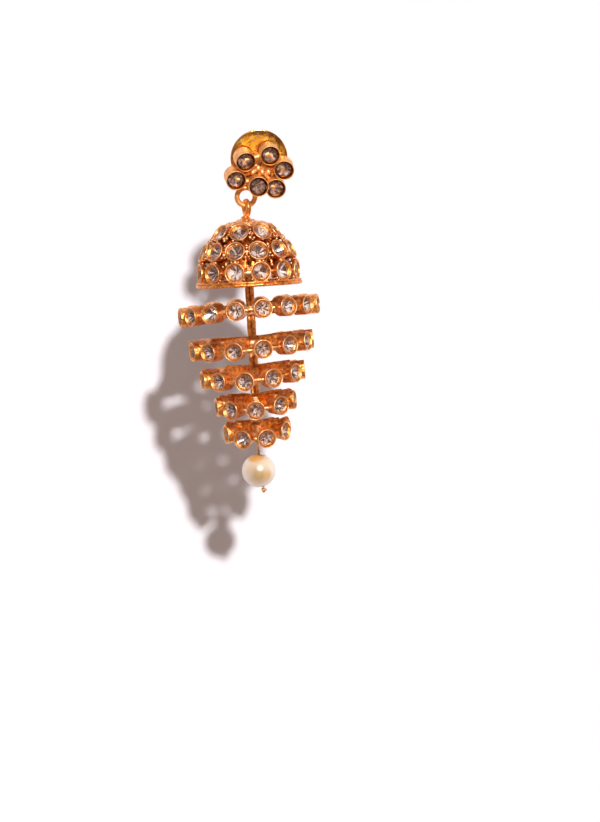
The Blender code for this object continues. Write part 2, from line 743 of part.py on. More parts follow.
def main():
    clear_scene()
    gold = make_material("rose gold", (0.80, 0.40, 0.16), 0.3, 1.0)
    pale_gold = make_material("yellow gold", (0.78, 0.52, 0.20), 0.18, 1.0)
    glass = make_material("pink glass", (0.86, 0.74, 0.76), 0.05, 0.0)
    nacre = make_material("pearl nacre", (0.90, 0.80, 0.62), 0.25, 0.0)

    facing = Matrix.Rotation(FLOWER_TURN, 3, "Z") @ Matrix.Rotation(math.pi / 2 + FLOWER_LEAN, 3, "X")
    post_root = Vector((POST_RIGHT, POST_UP, POST_PAD_BACK))
    flower_centre = -(facing @ post_root)
    ring_bottom = RING_CENTRE - Vector((0.0, RING_RADIUS, 0.0))
    pivot = flower_centre + facing @ ring_bottom

    flower = make_empty("flower_frame", flower_centre, facing.to_euler())
    backward = facing @ Matrix.Rotation(math.pi, 3, "X")
    post_line = make_empty("post_line", (0.0, 0.0, 0.0), backward.to_euler())
    hanging = make_empty("hanging_drop", pivot + Vector((DROP_ASIDE, 0.0, 0.0)))

    make_stud(flower, gold)
    make_petal_stones(flower, glass)
    make_clutch(post_line, pale_gold)
    make_dome(hanging, gold)
    for number, tier in enumerate(TIERS, start=1):
        make_tier(number, tier, hanging, gold)
    make_object("centre_stem", stem_mesh(), hanging, gold)
    make_pin(hanging, gold)
    make_pearl(hanging, nacre)
    bpy.context.view_layer.update()


main()
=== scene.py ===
import json
import math
import random

import bmesh
import bpy
from mathutils import Matrix, Vector


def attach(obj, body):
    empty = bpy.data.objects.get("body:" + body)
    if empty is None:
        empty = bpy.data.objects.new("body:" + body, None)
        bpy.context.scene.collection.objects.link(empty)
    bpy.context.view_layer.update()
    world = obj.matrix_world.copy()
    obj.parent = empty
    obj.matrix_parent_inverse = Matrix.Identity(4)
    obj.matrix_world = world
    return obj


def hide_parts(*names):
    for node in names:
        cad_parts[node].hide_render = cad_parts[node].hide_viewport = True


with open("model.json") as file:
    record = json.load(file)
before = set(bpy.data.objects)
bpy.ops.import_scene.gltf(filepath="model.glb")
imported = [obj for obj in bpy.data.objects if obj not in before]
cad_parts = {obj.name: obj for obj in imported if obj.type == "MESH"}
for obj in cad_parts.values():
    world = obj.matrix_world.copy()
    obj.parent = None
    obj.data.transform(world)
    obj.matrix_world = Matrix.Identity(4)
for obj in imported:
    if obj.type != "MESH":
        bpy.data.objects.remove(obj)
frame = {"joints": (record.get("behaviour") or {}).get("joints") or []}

# Shapes are modelled in millimetres, then set to metres at their place
millimetre = 0.001
toMetres = Matrix.Scale(millimetre, 4)
fullTurn = math.tau
weldGap = 0.0005  # in millimetres, corners nearer than this are one
handSet = random.Random(5)
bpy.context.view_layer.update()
joints = {joint["name"]: joint for joint in frame["joints"]}


# Small helpers: picking, turning, copying, joining

def pickOnly(*pieces):
    bpy.ops.object.select_all(action="DESELECT")
    for piece in pieces:
        piece.select_set(True)
    bpy.context.view_layer.objects.active = pieces[0]


def startPiece(name):
    piece = bpy.context.object
    piece.name = name
    pickOnly(piece)
    return piece


def fixPlace():
    bpy.ops.object.transform_apply(location=True, rotation=True, scale=True)


def pickFaces(piece, wanted):
    bpy.ops.mesh.select_mode(type="FACE")
    bpy.ops.mesh.select_all(action="DESELECT")
    shape = bmesh.from_edit_mesh(piece.data)
    for face in shape.faces:
        if wanted(face):
            face.select_set(True)
    bmesh.update_edit_mesh(piece.data)


def openShape(piece):
    pickOnly(piece)
    bpy.ops.object.mode_set(mode="EDIT")
    bpy.ops.mesh.select_all(action="SELECT")


def cleanShape(piece):
    openShape(piece)
    bpy.ops.mesh.remove_doubles(threshold=weldGap)
    bpy.ops.mesh.normals_make_consistent(inside=False)
    bpy.ops.object.mode_set(mode="OBJECT")


def smoothPiece(piece, angle=40.0):
    pickOnly(piece)
    bpy.ops.object.shade_smooth_by_angle(angle=math.radians(angle))


# A profile of (radius, height) points, drawn by extruding one vertex, then spun about Z
def turnPiece(name, profile, steps):
    bpy.ops.mesh.primitive_plane_add(size=0.1)
    piece = startPiece(name)
    bpy.ops.object.mode_set(mode="EDIT")
    bpy.ops.mesh.select_mode(type="VERT")
    bpy.ops.mesh.select_all(action="SELECT")
    bpy.ops.mesh.merge(type="CENTER")
    lastRadius, lastHeight = profile[0]
    bpy.ops.transform.translate(value=(lastRadius, 0.0, lastHeight))
    for radius, height in profile[1:]:
        step = (radius - lastRadius, 0.0, height - lastHeight)
        bpy.ops.mesh.extrude_region_move(TRANSFORM_OT_translate={"value": step})
        lastRadius, lastHeight = radius, height
    bpy.ops.mesh.select_all(action="SELECT")
    bpy.ops.mesh.spin(steps=steps, angle=fullTurn, center=(0.0, 0.0, 0.0), axis=(0.0, 0.0, 1.0))
    bpy.ops.object.mode_set(mode="OBJECT")
    cleanShape(piece)
    smoothPiece(piece)
    return piece


# Hand-worked metal: every corner a little off its place
def roughenPiece(piece, offset):
    openShape(piece)
    bpy.ops.transform.vertex_random(offset=offset, seed=handSet.randrange(1000))
    bpy.ops.object.mode_set(mode="OBJECT")
    return piece


def arcPoints(centre, radius, start, end, steps):
    points = []
    for step in range(steps + 1):
        angle = math.radians(start + (end - start) * step / steps)
        points.append((centre[0] + radius * math.cos(angle), centre[1] + radius * math.sin(angle)))
    return points


def ringPiece(name, radius, wire, place, around=48, across=12):
    bpy.ops.mesh.primitive_torus_add(
        major_radius=radius, minor_radius=wire, major_segments=around, minor_segments=across)
    piece = startPiece(name)
    piece.matrix_world = place
    smoothPiece(piece, 60.0)
    return piece


def copyTo(model, place):
    twin = model.copy()
    twin.data = model.data.copy()
    twin.matrix_world = place
    bpy.context.scene.collection.objects.link(twin)
    return twin


def dropModels(*models):
    for model in models:
        bpy.data.objects.remove(model)


def joinPieces(name, pieces):
    pickOnly(*pieces)
    bpy.ops.object.join()
    fixPlace()
    piece = bpy.context.object
    piece.name = name
    return piece


def addMaterials(piece, *materials):
    for material in materials:
        piece.data.materials.append(material)


# Faces whose middle is wanted get the piece's material of this number
def paintFaces(piece, number, wanted):
    for face in piece.data.polygons:
        if wanted(face.center):
            face.material_index = number


# Parts that have no material of their own yet get this one
def coatParts(parts, material):
    for part in parts:
        if not part.data.materials:
            addMaterials(part, material)
    return parts


# Puts a finished shape at its place in the frame and says what it rides on
def settlePiece(piece, place, body, slot, materials, *nodes):
    pickOnly(piece)
    piece.matrix_world = place @ toMetres
    fixPlace()
    piece.data.name = piece.name
    if materials:
        piece.data.materials.clear()
        addMaterials(piece, *materials)
    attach(piece, body)
    if nodes:
        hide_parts(*nodes)


def raiseBy(height):
    return Matrix.Translation((0.0, 0.0, height))


def turnBy(degrees, axis):
    return Matrix.Rotation(math.radians(degrees), 4, axis)


def heading(degrees):
    angle = math.radians(degrees)
    return Vector((math.sin(angle), -math.cos(angle), 0.0))


# A place whose Z looks along outward, with its Y as near to up as it can be
def faceOut(outward, distance, centre):
    side = Vector((0.0, 0.0, 1.0)).cross(outward).normalized()
    place = Matrix((side, outward.cross(side), outward)).transposed().to_4x4()
    place.translation = centre + outward * distance
    return place


# A place for a model of unit length along Z that then spans two points
def spanPlace(start, end, thick=1.0):
    along = end - start
    turn = Vector((0.0, 0.0, 1.0)).rotation_difference(along).to_matrix().to_4x4()
    middle = Matrix.Translation((start + end) / 2)
    return middle @ turn @ Matrix.Diagonal((thick, thick, along.length, 1.0))


# Materials

def newGroup(name, inputs, outputs):
    group = bpy.data.node_groups.new(name, "ShaderNodeTree")
    for label, value in inputs.items():
        socket = group.interface.new_socket(label, in_out="INPUT", socket_type="NodeSocketFloat")
        socket.default_value = value
    for label in outputs:
        group.interface.new_socket(label, in_out="OUTPUT", socket_type="NodeSocketFloat")
    start = group.nodes.new("NodeGroupInput")
    end = group.nodes.new("NodeGroupOutput")
    return group, start, end


def addNode(tree, kind, **settings):
    node = tree.nodes.new(kind)
    for label, value in settings.items():
        setattr(node, label, value)
    return node


def addMath(tree, operation, first, second=None):
    node = addNode(tree, "ShaderNodeMath", operation=operation)
    for place, value in enumerate((first, second)):
        if value is None:
            continue
        if isinstance(value, (int, float)):
            node.inputs[place].default_value = value
        else:
            tree.links.new(value, node.inputs[place])
    return node.outputs[0]


def addRange(tree, source, fromMin, fromMax, toMin, toMax):
    node = addNode(tree, "ShaderNodeMapRange")
    tree.links.new(source, node.inputs["Value"])
    for socket, value in zip(node.inputs[1:5], (fromMin, fromMax, toMin, toMax)):
        socket.default_value = value
    return node.outputs["Result"]


def addMix(tree, factor, first, second):
    node = addNode(tree, "ShaderNodeMix", data_type="RGBA")
    tree.links.new(factor, node.inputs[0])
    for socket, value in ((node.inputs[6], first), (node.inputs[7], second)):
        if isinstance(value, tuple):
            socket.default_value = (*value, 1.0)
        else:
            tree.links.new(value, socket)
    return node.outputs[2]


def addNoise(tree, coords, scale, detail=3.0, roughness=0.55):
    noise = addNode(tree, "ShaderNodeTexNoise")
    tree.links.new(coords, noise.inputs["Vector"])
    if isinstance(scale, (int, float)):
        noise.inputs["Scale"].default_value = scale
    else:
        tree.links.new(scale, noise.inputs["Scale"])
    noise.inputs["Detail"].default_value = detail
    noise.inputs["Roughness"].default_value = roughness
    return noise.outputs["Fac"]


# Cast skin: fine pebbling over a slow swell, slow patches of tone, and dark pits
skinShape = {
    "pebbleShare": 0.35, "patchScale": 420.0, "patchEdges": (0.35, 0.65),
    "pitShare": 0.6, "pitEdges": (0.42, 0.56),
}


def castSkinGroup():
    group, start, end = newGroup(
        "castSkin", {"Pebble Scale": 3200.0, "Swell Scale": 700.0}, ["Height", "Patches", "Pits"])
    coords = addNode(group, "ShaderNodeTexCoord").outputs["Object"]
    pebbles = addNoise(group, coords, start.outputs["Pebble Scale"])
    swell = addNoise(group, coords, start.outputs["Swell Scale"], detail=1.0)
    height = addMath(group, "ADD", addMath(group, "MULTIPLY", pebbles, skinShape["pebbleShare"]), swell)
    group.links.new(height, end.inputs["Height"])
    patches = addNoise(group, coords, skinShape["patchScale"], detail=4.0)
    patches = addRange(group, patches, *skinShape["patchEdges"], 0.0, 1.0)
    group.links.new(patches, end.inputs["Patches"])
    pitScale = addMath(group, "MULTIPLY", start.outputs["Pebble Scale"], skinShape["pitShare"])
    pits = addNoise(group, coords, pitScale, detail=2.0)
    pits = addRange(group, pits, *skinShape["pitEdges"], 1.0, 0.0)
    group.links.new(pits, end.inputs["Pits"])
    return group


# Where a surface turns outward sharply it is painted brighter: partly rubbed wear, partly a painted
# highlight
def edgeWearAndHighlightGroup():
    group, start, end = newGroup("edgeWearAndHighlight", {"From": 0.53, "To": 0.63}, ["Edge"])
    bend = addNode(group, "ShaderNodeNewGeometry").outputs["Pointiness"]
    reach = addMath(group, "SUBTRACT", start.outputs["To"], start.outputs["From"])
    over = addMath(group, "SUBTRACT", bend, start.outputs["From"])
    share = addNode(group, "ShaderNodeMath", operation="DIVIDE", use_clamp=True)
    group.links.new(over, share.inputs[0])
    group.links.new(reach, share.inputs[1])
    group.links.new(share.outputs[0], end.inputs["Edge"])
    return group


def useGroup(tree, group, **values):
    node = addNode(tree, "ShaderNodeGroup", node_tree=group)
    for label, value in values.items():
        node.inputs[label.replace("_", " ")].default_value = value
    return node


def newMaterial(name):
    material = bpy.data.materials.new(name)
    material.use_nodes = True
    tree = material.node_tree
    return material, tree, tree.nodes["Principled BSDF"]


def addBump(tree, shader, height, distance, strength):
    bump = addNode(tree, "ShaderNodeBump")
    bump.inputs["Distance"].default_value = distance
    bump.inputs["Strength"].default_value = strength
    tree.links.new(height, bump.inputs["Height"])
    tree.links.new(bump.outputs["Normal"], shader.inputs["Normal"])


castSkin = castSkinGroup()
edgeWearAndHighlight = edgeWearAndHighlightGroup()


def goldMaterial(name, look):
    material, tree, shader = newMaterial(name)
    skin = useGroup(tree, castSkin, Pebble_Scale=look["pebbles"], Swell_Scale=look["swell"])
    edge = useGroup(tree, edgeWearAndHighlight).outputs["Edge"]
    tone = addMix(tree, skin.outputs["Patches"], look["deep"], look["warm"])
    # Sharp outer edges take the bright tone: partly wear, partly a painted highlight
    tone = addMix(tree, edge, tone, look["bright"])
    tarnish = addMath(tree, "MULTIPLY", skin.outputs["Pits"], look["tarnish"])
    tone = addMix(tree, tarnish, tone, look["dark"])
    tree.links.new(tone, shader.inputs["Base Color"])
    rough = addRange(tree, skin.outputs["Patches"], 0.0, 1.0, *look["roughness"])
    tree.links.new(rough, shader.inputs["Roughness"])
    shader.inputs["Metallic"].default_value = 1.0
    addBump(tree, shader, skin.outputs["Height"], *look["bump"])
    return material


# Every bump is a height in metres and its strength
castGold = goldMaterial("castGold", {
    "deep": (0.88, 0.34, 0.065), "warm": (0.98, 0.49, 0.14), "bright": (1.0, 0.74, 0.44),
    "dark": (0.48, 0.14, 0.025), "tarnish": 0.70, "roughness": (0.34, 0.48),
    "pebbles": 2600.0, "swell": 900.0, "bump": (0.00035, 0.80),
})
# A darker gold for recesses: painted shade
recessShadeGold = goldMaterial("recessShadeGold", {
    "deep": (0.46, 0.13, 0.02), "warm": (0.62, 0.22, 0.05), "bright": (0.75, 0.34, 0.12),
    "dark": (0.20, 0.045, 0.01), "tarnish": 0.9, "roughness": (0.34, 0.50),
    "pebbles": 3000.0, "swell": 800.0, "bump": (0.00012, 0.70),
})
smoothGold = goldMaterial("smoothGold", {
    "deep": (0.88, 0.42, 0.12), "warm": (0.98, 0.57, 0.22), "bright": (1.0, 0.74, 0.42),
    "dark": (0.56, 0.20, 0.05), "tarnish": 0.40, "roughness": (0.48, 0.60),
    "pebbles": 1700.0, "swell": 500.0, "bump": (0.00014, 0.50),
})
# A paler gold for the tops of collet rims: a painted highlight
rimHighlightGold = goldMaterial("rimHighlightGold", {
    "deep": (0.96, 0.54, 0.22), "warm": (1.0, 0.66, 0.36), "bright": (1.0, 0.80, 0.56),
    "dark": (0.60, 0.26, 0.08), "tarnish": 0.40, "roughness": (0.36, 0.50),
    "pebbles": 2600.0, "swell": 900.0, "bump": (0.00016, 0.60),
})
paleGold = goldMaterial("paleGold", {
    "deep": (0.66, 0.31, 0.09), "warm": (0.92, 0.50, 0.10), "bright": (0.92, 0.70, 0.35),
    "dark": (0.40, 0.24, 0.12), "tarnish": 0.35, "roughness": (0.10, 0.18),
    "pebbles": 700.0, "swell": 260.0, "bump": (0.00030, 0.60),
})


# A stone has a clear crown over a silvered foil
crown = {
    "tones": ((0.24, 0.17, 0.16), (0.16, 0.10, 0.09)), "cloudScale": 260.0, "cloudEdges": (0.35, 0.65),
    "roughness": 0.04, "ior": 2.2, "alpha": 0.18,
}
foil = {
    "dark": (0.07, 0.03, 0.025), "middle": (0.44, 0.29, 0.24), "lit": (1.0, 0.97, 0.97),
    "mottle": (-0.22, 0.22), "mottleScale": 1600.0, "mottleEdges": (0.42, 0.58),
    "roughness": 0.20, "metallic": 0.25,
}


def clearStoneMaterial():
    material, tree, shader = newMaterial("clearStone")
    coords = addNode(tree, "ShaderNodeTexCoord").outputs["Object"]
    cloud = addRange(tree, addNoise(tree, coords, crown["cloudScale"]), *crown["cloudEdges"], 0.0, 1.0)
    tree.links.new(addMix(tree, cloud, *crown["tones"]), shader.inputs["Base Color"])
    shader.inputs["Roughness"].default_value = crown["roughness"]
    shader.inputs["IOR"].default_value = crown["ior"]
    shader.inputs["Alpha"].default_value = crown["alpha"]
    return material


# Painted glints: each silvered facet has its own painted brightness, mottled a little
def stoneFoilMaterial():
    material, tree, shader = newMaterial("stoneFoil")
    coords = addNode(tree, "ShaderNodeTexCoord").outputs["Object"]
    cloud = addNoise(tree, coords, foil["mottleScale"], detail=1.0)
    cloud = addRange(tree, cloud, *foil["mottleEdges"], *foil["mottle"])
    facet = addNode(tree, "ShaderNodeAttribute", attribute_name="paintedGlint").outputs["Fac"]
    mottled = addNode(tree, "ShaderNodeMath", operation="ADD", use_clamp=True)
    tree.links.new(cloud, mottled.inputs[0])
    tree.links.new(facet, mottled.inputs[1])
    dim = addRange(tree, mottled.outputs[0], 0.0, 0.5, 0.0, 1.0)
    lit = addRange(tree, mottled.outputs[0], 0.5, 1.0, 0.0, 1.0)
    tint = addMix(tree, dim, foil["dark"], foil["middle"])
    tint = addMix(tree, lit, tint, foil["lit"])
    tree.links.new(tint, shader.inputs["Base Color"])
    shader.inputs["Roughness"].default_value = foil["roughness"]
    shader.inputs["Metallic"].default_value = foil["metallic"]
    return material


stoneLook = [clearStoneMaterial(), stoneFoilMaterial()]
print("materials ready")


# Places: the flower's own frame and the point where the drop hangs

flowerStand = {"lean": 12.0, "turn": 6.0, "postRoot": (0.0, 2.15, -3.55)}
flowerTurn = Matrix.Rotation(math.radians(flowerStand["turn"]), 3, "Z")
flowerTurn @= Matrix.Rotation(math.radians(90.0 + flowerStand["lean"]), 3, "X")
flowerPlace = flowerTurn.to_4x4()
flowerPlace.translation = -(flowerTurn @ Vector(flowerStand["postRoot"])) * millimetre
dropAside = -0.25
hangPlace = Matrix.Translation(joints["drop_swing"]["pos_m"])
hangPlace @= Matrix.Translation((dropAside * millimetre, 0.0, 0.0))


# One cut stone, its girdle at height 0: rings of corners wrapped in flat facets.
# Each seat gives its own radius

stone = {
    "table": 0.72, "tableUp": 0.42, "star": 1.02, "starUp": 0.26, "girdle": 0.05,
    "lower": 0.72, "lowerDown": 0.50, "inner": 0.36, "innerDown": 0.79, "culet": 0.03, "culetDown": 0.95,
}
# Painted glints: the brightness choices for a facet, and how much brighter it is painted the lower it sits
facetShine = {"choices": (0.0, 0.0, 0.15, 0.4, 0.7, 1.0, 1.2), "shadeByDrop": 0.22}


def makeStone(name, size):
    between = 360.0 / 16
    rings = [
        (8, size["table"], size["tableUp"], 0.0),
        (8, size["star"], size["starUp"], between),
        (16, size["radius"], size["girdle"], 0.0),
        (16, size["radius"], -size["girdle"], 0.0),
        (8, size["lower"], -size["lowerDown"], between),
        (8, size["inner"], -size["innerDown"], 0.0),
        (8, size["culet"], -size["culetDown"], between),
    ]
    corners, radius, height, turned = rings[0]
    bpy.ops.mesh.primitive_circle_add(vertices=corners, radius=radius, location=(0.0, 0.0, height))
    piece = startPiece(name)
    fixPlace()
    bpy.ops.object.mode_set(mode="EDIT")
    for corners, radius, height, turned in rings[1:]:
        bpy.ops.mesh.primitive_circle_add(
            vertices=corners, radius=radius, location=(0.0, 0.0, height),
            rotation=(0.0, 0.0, math.radians(turned)))
    bpy.ops.mesh.select_all(action="SELECT")
    bpy.ops.mesh.convex_hull()
    bpy.ops.mesh.normals_make_consistent(inside=False)
    bpy.ops.object.mode_set(mode="OBJECT")
    # The facets below the girdle are silvered
    addMaterials(piece, *stoneLook)
    paintFaces(piece, 1, lambda middle: middle.z < -size["girdle"])
    return piece


# A copy of a stone with its own turn and its own painted bright and dark facets, standing in for glints
def copyStone(model, place, bright):
    turned = Matrix.Rotation(handSet.uniform(0.0, fullTurn), 4, "Z")
    gem = copyTo(model, place @ turned)
    paintedGlint = gem.data.color_attributes.new(name="paintedGlint", type="FLOAT_COLOR", domain="CORNER")
    for face in gem.data.polygons:
        # Painted shade and light: facets low in the setting are brighter, those under its upper rim darker,
        # as if shaded by it
        drop = -(turned @ face.center).y
        shine = bright * (handSet.choice(facetShine["choices"]) + facetShine["shadeByDrop"] * drop)
        for corner in face.loop_indices:
            paintedGlint.data[corner].color = (shine, shine, shine, 1.0)
    return gem


# A round collet, closed behind, with a rolled rim, an inner slope and a ledge for its stone

colletShape = {
    "turns": 28, "backEdge": 0.2, "rimFoot": 0.3, "rimDown": 0.12, "highlightDown": 0.13,
    "stoneRoom": 0.04, "seatIn": 0.2, "seatSlope": 0.1, "wellIn": 0.5, "stoneSink": 0.40, "barClear": 1.6,
}


def makeCollet(name, size):
    outer, back, depth, ledge = size["outer"], size["back"], size["depth"], size["ledge"]
    edge, rimMiddle = colletShape["backEdge"], (outer + size["lip"]) / 2
    profile = [(0.0, -depth), (back - edge, -depth), (back, -depth + edge), (outer, -colletShape["rimFoot"])]
    profile += arcPoints((rimMiddle, -colletShape["rimDown"]), outer - rimMiddle, 0.0, 180.0, 6)
    profile += [
        (size["stone"] + colletShape["stoneRoom"], -ledge),
        (size["stone"] - colletShape["seatIn"], -ledge - colletShape["seatSlope"]),
        (size["stone"] - colletShape["wellIn"], -size["floor"]),
        (0.0, -size["floor"]),
    ]
    collet = turnPiece(name, profile, colletShape["turns"])
    # The top of the rolled rim is painted bright, a painted highlight
    addMaterials(collet, castGold, rimHighlightGold)
    paintFaces(collet, 1, lambda middle: middle.z > -colletShape["highlightDown"])
    return collet


# A place for the stone of a collet, sunk below its rim
def sunkPlace(seat):
    return seat @ raiseBy(-colletShape["stoneSink"])


# A bar of unit length with a slight swell at its middle
barShape = {"shoulder": 0.97, "shoulderAt": 0.16, "turns": 12}


def makeBar(name, radius, swell):
    shoulder, at = swell * barShape["shoulder"], barShape["shoulderAt"]
    profile = [(0.0, -0.5), (radius, -0.5), (shoulder, -at), (swell, 0.0)]
    profile += [(shoulder, at), (radius, 0.5), (0.0, 0.5)]
    return turnPiece(name, profile, barShape["turns"])


# A bar between two neighbouring collets, clear of their middles
def linkCollets(bar, start, end):
    away = (end - start).normalized() * colletShape["barClear"]
    return copyTo(bar, spanPlace(start + away, end - away))


def makeGrain(name, radius):
    bpy.ops.mesh.primitive_ico_sphere_add(subdivisions=2, radius=radius)
    grain = startPiece(name)
    smoothPiece(grain, 80.0)
    return grain


# Stud: six collets, the hoop and struts that tie them, the ring and the post

flower = {
    "petals": [
        # right, up, proud, down turn, right turn
        (-2.72, 2.26, 0.0, 8.0, 4.0),
        (1.63, 3.20, 0.0, 4.0, 0.0),
        (3.99, 0.44, 0.0, 6.0, -3.0),
        (2.43, -2.80, 0.0, 4.0, 0.0),
        (-0.72, -2.06, 1.0, -3.0, 0.0),
        (-4.55, -0.97, 0.0, 8.0, 3.0),
    ],
    "outer": 1.79, "inner": 1.64, "depth": 3.3, "seat": 1.15, "shade": -0.35, "floor": 0.5,
    "backEdge": 0.12, "seatEdge": 0.2, "wallTaper": (0.01, 0.03),
    "well": ((1.1, 0.1), (0.9, 1.2), (0.0, 1.3)),  # radius, depth below the seat
    "stoneDown": 0.95, "stoneRadius": 1.3, "stoneTable": 0.70, "stoneShine": 0.45,
    "hoop": 2.75, "hoopWire": 0.38, "hoopCentre": (-0.45, 0.0, -2.8),
    "ring": 1.61, "ringWire": 0.47, "ringCentre": (-2.70, -4.434, -2.7),
    "post": (0.0, 2.15), "postRadius": 0.4, "postLength": 11.0, "postFillet": 0.15,
    "postTip": ((1.0, 0.35), (0.85, 0.12), (0.5, 0.0), (0.0, 0.0)),  # share of radius, before the end
    "pad": 0.9, "padEdge": 0.1, "padFront": -2.75, "padBack": -3.55,
    "strut": 0.36, "strutSwell": 1.1, "strutReach": 0.72, "strutDown": 0.3, "strutHub": (0.1, 0.6, -2.2),
    "solder": -2.0, "solderThick": 1.7, "lump": 0.62, "lumpRough": 0.12,
    "lumps": [
        (-0.5, 0.1, 0.1), (0.45, 0.3, 0.0), (0.2, -0.6, 0.1), (1.3, -0.7, -0.2), (-1.5, -0.5, 0.0),
    ],
}


def petalPlace(right, up, proud, downTurn, rightTurn):
    return Matrix.Translation((right, up, proud)) @ turnBy(rightTurn, "Y") @ turnBy(downTurn, "X")


def makePetal(proud):
    outer, inner, seat = flower["outer"], flower["inner"], flower["seat"]
    middle = (outer + inner) / 2
    back = -flower["depth"] - proud
    backEdge, seatEdge = flower["backEdge"], flower["seatEdge"]
    upper, lower = (inner - taper for taper in flower["wallTaper"])
    profile = [(0.0, back), (outer - backEdge, back), (outer, back + backEdge)]
    profile += arcPoints((middle, -(outer - middle)), outer - middle, 0.0, 180.0, 6)
    profile += [(upper, flower["shade"]), (lower, -seat + seatEdge), (inner - seatEdge, -seat)]
    profile += [(radius, -seat - down) for radius, down in flower["well"]]
    cup = turnPiece("petal", profile, 48)
    # Painted shade: the well round the stone is darker than the rim
    low, high = back + flower["floor"], flower["shade"]
    addMaterials(cup, smoothGold, recessShadeGold)
    paintFaces(cup, 1, lambda spot: spot.xy.length < inner and low < spot.z < high)
    return cup


def makePost():
    pad, front, back = flower["pad"], flower["padFront"], flower["padBack"]
    radius, end = flower["postRadius"], back - flower["postLength"]
    edge, fillet = flower["padEdge"], flower["postFillet"]
    profile = [(0.0, front), (pad, front), (pad, back + edge), (pad - edge, back)]
    profile += [(radius + fillet, back), (radius, back - fillet)]
    profile += [(radius * share, end + before) for share, before in flower["postTip"]]
    post = turnPiece("post", profile, 24)
    post.location = (*flower["post"], 0.0)
    return post


def makeStud():
    parts = []
    strutBar = makeBar("strutBar", flower["strut"], flower["strut"] * flower["strutSwell"])
    hub = Vector(flower["strutHub"])
    for petal in flower["petals"]:
        cup = makePetal(petal[2])
        cup.matrix_world = petalPlace(*petal)
        parts.append(cup)
        away = Vector((petal[0], petal[1], hub.z - flower["strutDown"])) - hub
        parts.append(copyTo(strutBar, spanPlace(hub, hub + away * flower["strutReach"])))
    # Fillets of solder between neighbouring cups
    for one, other in zip(flower["petals"], flower["petals"][1:] + flower["petals"][:1]):
        ends = [Vector((petal[0], petal[1], flower["solder"])) for petal in (one, other)]
        parts.append(copyTo(strutBar, spanPlace(*ends, flower["solderThick"])))
    # Lumps of solder where the struts meet
    lump = roughenPiece(makeGrain("lump", flower["lump"]), flower["lumpRough"])
    for aside in flower["lumps"]:
        parts.append(copyTo(lump, Matrix.Translation(hub + Vector(aside))))
    dropModels(strutBar, lump)
    hoopPlace = Matrix.Translation(flower["hoopCentre"])
    parts.append(ringPiece("hoop", flower["hoop"], flower["hoopWire"], hoopPlace))
    ringPlace = Matrix.Translation(flower["ringCentre"])
    parts.append(ringPiece("ring", flower["ring"], flower["ringWire"], ringPlace, 56, 18))
    parts.append(makePost())
    stud = joinPieces("studMetal", coatParts(parts, smoothGold))
    settlePiece(stud, flowerPlace, "stud", "rose_gold", None, "stud_setting")


def makePetalGems():
    size = dict(stone, radius=flower["stoneRadius"], table=flower["stoneTable"])
    model = makeStone("petalGem", size)
    lowered = raiseBy(-flower["stoneDown"])
    for number, petal in enumerate(flower["petals"], start=1):
        gem = copyStone(model, petalPlace(*petal) @ lowered, flower["stoneShine"])
        gem = joinPieces(f"petalGem{number}", [gem])
        settlePiece(gem, flowerPlace, "stud", "pale_stone", None, f"petal_stone_{number}")
    dropModels(model)


makeStud()
makePetalGems()
print("stud ready")


# Clutch: a slightly domed disc and a barrel with rolled ridges

clutch = {
    "bore": 0.7, "boreLip": (0.3, 0.25), "front": 0.3, "turns": 72,
    "pad": 5.1, "padThick": 0.5, "padEdge": 0.15, "padSteps": (1.8, 2.9, 3.9),
    "barrel": 2.0, "barrelLength": 4.3, "barrelEdge": 0.3,
    "barrelFoot": ((0.35, 0.0), (0.08, 0.1), (0.0, 0.35)),  # out from the barrel, up from the pad
    "ridge": 0.24, "ridgeRoom": 0.33, "ridges": (2.15, 3.38),
}


def makeClutch():
    bore, barrel = clutch["bore"], clutch["barrel"]
    front, back = clutch["front"], clutch["front"] + clutch["padThick"]
    end = back + clutch["barrelLength"]
    edge = clutch["padEdge"]
    bulge = clutch["padThick"] - 2.0 * edge
    profile = []
    for radius in (bore, *clutch["padSteps"]):
        profile.append((radius, front + bulge * (radius / clutch["pad"]) ** 2))
    profile += arcPoints((clutch["pad"] - edge, back - edge), edge, -90.0, 90.0, 8)
    profile += [(barrel + out, back + up) for out, up in clutch["barrelFoot"]]
    for ridge in clutch["ridges"]:
        profile.append((barrel, back + ridge - clutch["ridgeRoom"]))
        profile += arcPoints((barrel, back + ridge), clutch["ridge"], -80.0, 80.0, 6)
        profile.append((barrel, back + ridge + clutch["ridgeRoom"]))
    edge = clutch["barrelEdge"]
    profile += arcPoints((barrel - edge, end - edge), edge, 0.0, 90.0, 4)
    lip, lipDepth = clutch["boreLip"]
    profile += [(bore + lip, end), (bore, end - lipDepth)]
    piece = turnPiece("clutchBack", profile + profile[:1], clutch["turns"])
    backward = flowerTurn @ Matrix.Rotation(math.pi, 3, "X")
    settlePiece(piece, backward.to_4x4(), "clutch", "yellow_gold", [paleGold], "clutch")


makeClutch()
print("clutch ready")


# Dome: heights are counted from the point where it hangs

